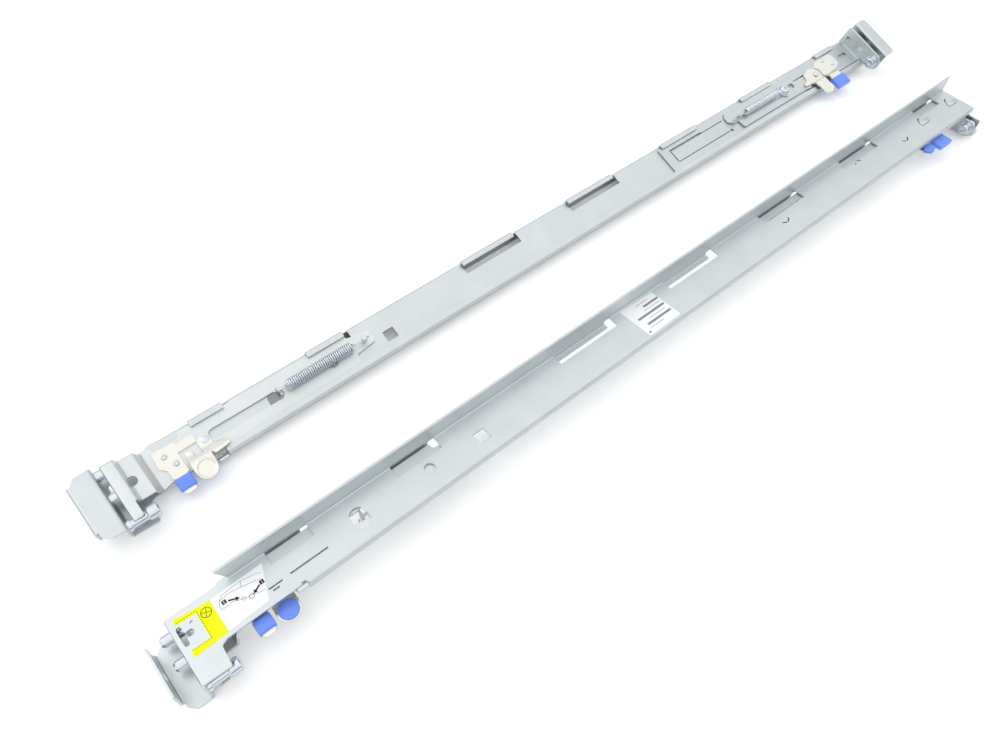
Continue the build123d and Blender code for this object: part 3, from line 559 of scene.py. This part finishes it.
# %% Section of the front slide
plate, lever_sheet, bend = 1.5, 1.1, 1.4
slide_end, tongue = 189.0, 172.0
near_edge = web_height - 2.8
flange_foot, fold_top, hat_top = 2.4, 19.9, 13.0
pin_rows, pin_height = (5.3, 5.3 + 15.875), 12.0
slide_section = folded([(5.8, flange_foot), (5.8, fold_top), (13.6, fold_top), (15.2, hat_top),
                        (24.4, hat_top), (27.6, slide_top), (slide_end, slide_top)], bend)
post_x, post_y, post_z = (179.4, 182.6), (12.8, 16.0), (slide_top - 0.3, 8.8)
print("length of the slide's blank:", round(slide_section[-1][0], 1), "mm")


# %% Front slide, cut, folded and placed
def front_slide():
    """The whole plate with its holes and the spring's post."""
    def to(x):
        return along(slide_section, x)

    low, notch, flat_near = 2.6, 6.4, near_edge - 0.8
    outer = rounded([(0, 3.6), (0, 34.8), (14.5, 34.8), (14.5, 41.0), (to(12.4), 41.0), (to(12.4), 31.0),
                     (to(26.5), 31.0), (to(33.5), flat_near), (to(64.8), flat_near), (to(66.4), near_edge),
                     (to(tongue), near_edge), (to(tongue), 19.6), (to(slide_end), 17.6), (to(slide_end), 8.4),
                     (to(tongue), 6.4), (to(tongue), low), (to(51), low), (to(51), notch), (to(34), notch),
                     (to(34), low), (to(30), low), (to(27), 3.6)],
                    [1.5, 1.5, 0, 1.5, 1.5, 1, 2, 3, 1, 1, 3, 2, 3, 3, 2, 1.5, 1, 2.4, 2.4, 1, 1, 1])
    slot = rounded([(to(65.9), 12.0), (to(118.6), 12.0), (to(118.6), 19.0), (to(65.9), 19.0)], [3.4] * 4)
    holes = [slot, round_hole(to(16.4), 18.4, 3.0), round_hole(to(155.5), 16.5, 3.2)]
    for row in pin_rows:
        holes.append(round_hole(pin_height - flange_foot, row, 2.2, 16))
    bm = blank([outer] + holes, plate, slide_section)
    return brick(bm, post_x, post_y, post_z, 0.5)


for side in places:
    slide = piece_from(front_slide(), "folded_front_slide", side, f"{side}_front_slide", "slide")
    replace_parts(slide, f"{side}_front_slide")
    print(slide.name, "faces:", len(slide.data.polygons))


# %% [markdown]
# ## Squeeze latch
# A plate is riveted to the slide and its raised finger holds a blue sleeve. Beside it a lever turns
# on a small rivet; its end is round, with a raised rim and a blue pad under it. Squeezing the sleeve
# and the round end together frees the slide. Both stampings are folded from the same nickel-plated
# sheet. The rivets' heads are turned from short profiles, given as radius and height.

# %% Sizes and profiles of the latch
finger_top, ring_top = 5.3, 7.8
plate_top, lever_top = slide_top + lever_sheet, slide_top + 0.3 + lever_sheet
thumb, guide, turning = (54.4, 33.7), (62.6, 16.2), (51.0, 19.5)
rivets_at = ((37.6, 12.6), (41.6, 19.8))
sleeve_x, sleeve_y, sleeve_z = (35.1, 45.5), (29.2, 37.7), (2.7, 6.8)
rim = [(5.2, 0.0), (5.6, 0.6), (6.3, 0.7), (6.8, 0.4), (6.95, 0.0)]
pad_profile = [(0, 0), (5.3, 0), (5.75, 0.2), (5.9, 0.6), (5.9, 1.3), (0, 1.3)]
hollow_head = [(0, 0.2), (0.7, 0.25), (1.0, 0.8), (1.5, 0.75), (1.95, 0.3), (2.0, -0.2)]
flush_head = [(0, 0.35), (1.4, 0.3), (1.8, 0.05), (1.8, -0.2)]
domed_head = [(0, 0.8), (1.2, 0.75), (2.0, 0.5), (2.5, 0.05), (2.5, -0.2)]
print("the lever's end lies", round(ring_top - finger_top, 1), "mm higher than the plate's finger")


# %% Latch plate and thumb lever, cut and folded
def latch_plate():
    """Riveted plate with its raised finger; a corner of shape is x, y and its radius."""
    section = folded([(5.0, plate_top), (21.4, plate_top), (27.8, finger_top), (42.0, finger_top)], 4.0)

    def to(y):
        return along(section, y)

    shape = [(33.5, 6.9, 0.6), (32.1, 8.3, 0.6), (31.6, 17.7, 1.5), (35.1, 21.2, 1.5), (35.1, 28.0, 0.3),
             (36.6, 29.2, 0.1), (36.6, 40.4, 1.6), (44.0, 40.4, 1.6), (44.0, 29.2, 0.1), (45.5, 28.0, 0.3),
             (45.5, 14.4, 1.0), (58.3, 14.4, 0.8), (58.3, 9.8, 0.5), (57.1, 8.6, 0.4), (49.9, 8.6, 1.0),
             (47.8, 9.8, 1.0), (45.9, 6.9, 0.6)]
    outer = rounded([(to(y), x) for x, y, r in shape], [r for x, y, r in shape])
    return blank([outer], lever_sheet, section, across=True)


def thumb_lever():
    """Turning lever with its round end, which lies higher than the rivet."""
    section = folded([(5.0, lever_top), (19.8, lever_top), (26.0, ring_top), (45.0, ring_top)], 3.0)

    def to(y):
        return along(section, y)

    x, y = thumb
    shape = [(48.2, 17.0, 0.8), (52.6, 17.0, 0.8), (52.6, 23.2, 0.6), (57.8, 23.2, 0.6), (57.8, 14.8, 1.5),
             (59.3, 12.8, 1.0), (65.3, 12.8, 2.6), (65.7, 20.2, 1.5), (72.6, 22.4, 1.5), (74.9, 26.2, 1.2),
             (71.8, 27.6, 1.2), (63.3, 28.4, 0.8), (61.5, 24.6, 0.5), (x + 7, 31.4, 0.5), (x + 7, y + 7, 6.9),
             (x - 7, y + 7, 6.9), (x - 7, 31.4, 0.5)]
    outer = rounded([(to(b), a) for a, b, r in shape], [r for a, b, r in shape])
    bm = blank([outer], lever_sheet, section, across=True)
    return lathe(bm, rim, (x, y, ring_top))


# %% Latch pieces on both rails
pad_foot = 5.4
for side in places:
    slide, lever = f"{side}_front_slide", f"{side}_front_lever"
    stamping = piece_from(latch_plate(), "stamped_latch_plate", side, slide, "latch")
    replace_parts(stamping, f"{side}_front_latch_plate")
    stamping = piece_from(thumb_lever(), "stamped_thumb_lever", side, lever, "latch")
    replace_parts(stamping, f"{side}_front_thumb_lever")
    sleeve = brick(bmesh.new(), sleeve_x, sleeve_y, sleeve_z, 0.9, 4)
    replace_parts(piece_from(sleeve, "moulded_sleeve", side, slide, "pad"), f"{side}_front_grip")
    pad = lathe(bmesh.new(), pad_profile, (*thumb, pad_foot))
    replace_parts(piece_from(pad, "moulded_pad", side, lever, "pad"), f"{side}_front_thumb_pad")
    heads = bmesh.new()
    for x, y in rivets_at:
        lathe(heads, hollow_head, (x, y, plate_top))
    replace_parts(piece_from(heads, "domed_rivets", side, slide, "bright"), f"{side}_front_rivets")
    head = lathe(bmesh.new(), flush_head, (*turning, lever_top + 0.1))
    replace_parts(piece_from(head, "lever_rivet", side, slide, "latch"), f"{side}_front_lever_pivot")
    head = lathe(bmesh.new(), domed_head, (*guide, lever_top + 0.05))
    piece_from(head, "guide_rivet", side, slide, "bright")
print("latch pieces made for", list(places))


# %% [markdown]
# ## Wound springs
# Each slide is pulled by a closely wound extension spring of 1.15 mm wire. The wire is a round section
# carried along a path: one circle at each point, bridged to the one before. The coil is a helix, and
# at its ends the wire runs in to the axis, past its post, and turns up. The rear spring's other end
# is led down to the washer and round the head of a screw. The spring is one piece that joins the two
# bodies, and it rides on neither of them.

# %% Helpers for wire
def wire(bm, path, thick, sides=8):
    """Round wire along a path, its section turned no more than each bend needs."""
    heading = path[1] - path[0]
    turn, last = Vector((0, 0, 1)).rotation_difference(heading), None
    for i, point in enumerate(path):
        ahead = path[min(i + 1, len(path) - 1)] - path[max(i - 1, 0)]
        turn = heading.rotation_difference(ahead) @ turn
        heading = ahead
        stand = Matrix.Translation(point) @ turn.to_matrix().to_4x4()
        made = bmesh.ops.create_circle(bm, segments=sides, radius=thick / 2, matrix=stand,
                                       cap_ends=i in (0, len(path) - 1))["verts"]
        edges = list({e for v in made for e in v.link_edges})
        if last:
            bmesh.ops.bridge_loops(bm, edges=last + edges)
        last = edges
    return bm


def end_wire(x, way, y, z, radius, reach):
    """From the coil in to the axis, straight on, and turned up past the tab or post."""
    turn_in = [Vector((x + way * 0.35 * k, y + radius * math.cos(k * 0.5) * (1 - k / 7),
                       z - radius * math.sin(k * 0.5) * (1 - k / 7))) for k in range(1, 7)]
    bend_r = 1.2
    tip = reach - way * bend_r
    up = [Vector((tip + way * bend_r * math.sin(a), y, z + bend_r * (1 - math.cos(a))))
          for a in (0, 0.4, 0.8, 1.2, 1.57)]
    return turn_in + [Vector((x + way * 3.0, y, z))] + up + [Vector((reach, y, z + 2.6))]


def around_screw(x, y, z, radius, screw):
    """From the coil's end down to the washer and round the screw's head."""
    lead = [Vector((x + 1.2, y + radius, z - 0.4)), Vector((x + 3.4, y + radius + 0.3, z - 1.4))]
    loop_r, loop_z = 4.7, upper_top + 2.1
    angles = [math.radians(128 - k * 20) for k in range(15)]
    return lead + [Vector((screw[0] + loop_r * math.cos(a), screw[1] + loop_r * math.sin(a), loop_z))
                   for a in angles]


def helix(x0, x1, y, z, radius, turns, steps=16):
    """Coil along X."""
    count = turns * steps
    return [Vector((x0 + (x1 - x0) * k / count, y + radius * math.cos(2 * math.pi * k / steps),
                    z + radius * math.sin(2 * math.pi * k / steps))) for k in range(count + 1)]


# %% Springs on both rails
wire_thick, screw_at = 1.15, (web_length - 107.6, 15.2)
front_turns, rear_turns, least_step = 33, 30, 0.05
for side, matrix in places.items():
    y, z, r = 14.4, slide_top + 4.3, 3.1
    x0, x1, tab_end, post_end = 122.5, 171.0, 112.6, 184.4
    coil = helix(x0, x1, y, z, r, front_turns)
    path = end_wire(x0, -1, y, z, r, tab_end)[::-1] + coil + end_wire(x1, 1, y, z, -r, post_end)
    # points that nearly coincide would pinch the wire
    path = [p for i, p in enumerate(path) if i == 0 or (p - path[i - 1]).length > least_step]
    spring = piece_from(wire(bmesh.new(), path, wire_thick), "front_wound_spring", side, None, "bright")
    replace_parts(spring, f"{side}_front_spring")
    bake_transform(spring)
    y, z, r = screw_at[1], upper_top + 3.6, 2.5
    x0, x1, hook_end = web_length - 161.0, web_length - 119.0, web_length - 173.6
    coil = helix(x0, x1, y, z, r, rear_turns)
    path = end_wire(x0, -1, y, z, r, hook_end)[::-1] + coil + around_screw(x1, y, z, r, screw_at)
    spring = piece_from(wire(bmesh.new(), path, wire_thick), "rear_wound_spring", side, None, "bright")
    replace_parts(spring, f"{side}_rear_spring")
    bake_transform(spring)
    print(spring.name, "faces:", len(spring.data.polygons))


# %% [markdown]
# ## Stakes and lances
# The rear pins are riveted by a cross-shaped punch, which spreads four small lobes over the flange.
# Each lobe is a small rounded block, made once along Y and turned about the pin. Lances are short
# strips pushed out of the web: a long block for the strip and a small one for each of its ends.

# %% Stakes on the rear pins and lances in the web
rear_flange = web_length - 9.0
lances_at, lance_half = (web_length - 51.0, web_length - 9.7), 4.6
for side in places:
    stakes = bmesh.new()
    for row in pin_rows:
        for quarter in range(4):
            angle = math.radians(45 + 90 * quarter)
            lobe = bmesh.new()
            brick(lobe, (-0.45, 0.15), (1.5, 4.0), (-0.55, 0.55), 0.25, 2)
            pin = Matrix.Translation((rear_flange, row, pin_height))
            lobe.transform(pin @ Matrix.Rotation(angle, 4, "X"))
            shape = bpy.data.meshes.new("lobe")
            lobe.to_mesh(shape)
            stakes.from_mesh(shape)
            lobe.free()
            bpy.data.meshes.remove(shape)
    piece_from(stakes, "pin_stakes", side, f"{side}_rear_slide", "bright")
    lances = bmesh.new()
    for x in lances_at:
        brick(lances, (x - lance_half, x + lance_half), (14.0, 18.2), (-sheet - 1.1, -sheet - 0.2), 0.35, 2)
        for end in (x - 4.9, x + 4.9):
            brick(lances, (end - 0.7, end + 0.7), (14.3, 17.9), (-sheet - 0.9, -sheet + 0.3), 0.3, 2)
    piece_from(lances, "web_lances", side, "rails", "rail")
print("stakes and lances made")


# %% [markdown]
# ## Printing on the labels
# Ink lies on the paper as a film too thin to feel. Each mark is a flat face 0.03 mm above its label:
# bars, rings, arrow heads and two numbers set in the built-in font. The yellow label frames the
# T-slot with dashes, the white one beside it shows with numbered arrows where to press, and the one
# in mid-rail carries plain grey rules.

# %% Helpers for ink marks
label_thick, film = 0.12, 0.03
ink_z = -sheet - label_thick - film
print("ink at", round(ink_z, 2), "mm from the web's outer face")


def bar(bm, a, b, width):
    """Straight stroke from a to b."""
    a, b = Vector(a), Vector(b)
    middle, run = (a + b) / 2, b - a
    turn = Matrix.Rotation(math.atan2(run.y, run.x), 4, "Z")
    shape = turn @ Matrix.Diagonal((run.length, width, 1, 1))
    bmesh.ops.create_grid(bm, x_segments=1, y_segments=1, size=0.5,
                          matrix=Matrix.Translation((middle.x, middle.y, ink_z)) @ shape)


def line(bm, points, width):
    """Strokes through all the points."""
    for a, b in zip(points, points[1:]):
        bar(bm, a, b, width)


def ring(bm, x, y, radius, width):
    """Circle drawn with a stroke of the given width."""
    loops, centre = [], Matrix.Translation((x, y, ink_z))
    for r in (radius - width / 2, radius + width / 2):
        made = bmesh.ops.create_circle(bm, segments=32, radius=r, matrix=centre)["verts"]
        loops += list({e for v in made for e in v.link_edges})
    bmesh.ops.bridge_loops(bm, edges=loops)


def arrow(bm, a, b, width):
    """Stroke from a to b that ends in a triangle."""
    a, b = Vector(a), Vector(b)
    ahead = (b - a).normalized()
    bar(bm, a, b - ahead * 1.6, width)
    turn = Matrix.Rotation(math.atan2(ahead.y, ahead.x) - math.pi / 2, 4, "Z")
    bmesh.ops.create_circle(bm, segments=3, radius=1.5, cap_ends=True,
                            matrix=Matrix.Translation((*(b - ahead * 0.9), ink_z)) @ turn)


def number(text, x, y, size):
    """A figure of the built-in font as a mesh, mirrored to read right from the label's side."""
    curve = bpy.data.curves.new("figure", "FONT")
    curve.body, curve.size, curve.align_x, curve.align_y = text, size, "CENTER", "CENTER"
    holder = bpy.data.objects.new("figure", curve)
    mesh = bpy.data.meshes.new_from_object(holder)
    bm = bmesh.new()
    bm.from_mesh(mesh)
    bm.transform(Matrix.Translation((x, y, ink_z - film)) @ Matrix.Diagonal((-1, 1, 1, 1)))
    bpy.data.objects.remove(holder)
    return bm


# %% Print on the yellow label
marks = bmesh.new()
frame_line = [Vector(p) for p in ((4.9, 6.7), (16.2, 7.1), (16.0, 25.0), (4.9, 24.7))]
dash, space = 0.75, 0.55
for a, b in zip(frame_line, frame_line[1:]):
    count = int((b - a).length / (dash + space))
    step = (b - a) / count
    for k in range(count):
        bar(marks, a + step * k, a + step * k + step.normalized() * dash, 0.32)
crossed, tilt = Vector((20.0, 11.2)), 0.35
ring(marks, crossed.x, crossed.y, 2.8, 0.34)
for angle in (tilt, tilt + math.pi / 2):
    reach = Vector((math.cos(angle), math.sin(angle))) * 2.7
    bar(marks, crossed - reach, crossed + reach, 0.3)
printed = piece_from(marks, "window_label_print", "right", "rails", "ink")
print(printed.name, "faces:", len(printed.data.polygons))

# %% Print on the white label beside it
figures, half_square = {"2": (29.8, 12.3), "1": (50.8, 15.0)}, 1.25
marks = bmesh.new()
line(marks, [(30.5, 8.2), (42.0, 7.4), (51.5, 9.2), (53.0, 10.6)], 0.18)
line(marks, [(28.0, 10.4), (34.0, 9.4), (41.0, 10.6), (51.0, 13.0)], 0.18)
line(marks, [(27.0, 15.4), (33.0, 14.8), (39.0, 17.2), (47.5, 19.5), (50.0, 19.8)], 0.18)
line(marks, [(42.0, 7.4), (41.0, 10.6)], 0.18)
line(marks, [(30.5, 8.2), (28.0, 10.4), (26.8, 13.0), (27.0, 15.4)], 0.18)
ring(marks, 42.8, 18.6, 1.3, 0.3)
ring(marks, 38.8, 17.0, 1.0, 0.16)
for x, y in figures.values():
    bar(marks, (x - half_square, y), (x + half_square, y), half_square * 2)
arrow(marks, (31.8, 12.9), (37.0, 15.2), 0.95)
arrow(marks, (49.2, 15.6), (44.6, 17.9), 0.95)
printed = piece_from(marks, "head_label_print", "right", "rails", "ink")
print(printed.name, "faces:", len(printed.data.polygons))

# %% Grey rules on the label in mid-rail
# a rule: its place across the label, its start and end along it, all as parts of one, and its width
rules = [(0.24, 0.50, 0.94, 1.6), (0.47, 0.16, 0.93, 1.7), (0.71, 0.24, 0.93, 1.7),
         (0.12, 0.36, 0.72, 0.35), (0.35, 0.44, 0.90, 0.35), (0.59, 0.40, 0.86, 0.35),
         (0.83, 0.22, 0.62, 0.35), (0.91, 0.10, 0.16, 1.2)]
marks = bmesh.new()
near, far = (places["right"].inverted() @ Vector(corner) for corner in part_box("right_web_label"))
left_end, shelf_side = min(near.x, far.x), min(near.y, far.y)
wide, high = abs(far.x - near.x), abs(far.y - near.y)
for row, start, end, thick in rules:
    y = shelf_side + row * high
    bar(marks, (left_end + start * wide, y), (left_end + end * wide, y), thick)
piece_from(marks, "web_label_print", "right", "rails", "grey")
print("grey rules:", len(rules))

# %% White figures in the black squares
figure_size = 2.4
for text, (x, y) in figures.items():
    piece_from(number(text, x, y, figure_size), f"label_figure_{text}", "right", "rails", "white")
print("figures:", list(figures))
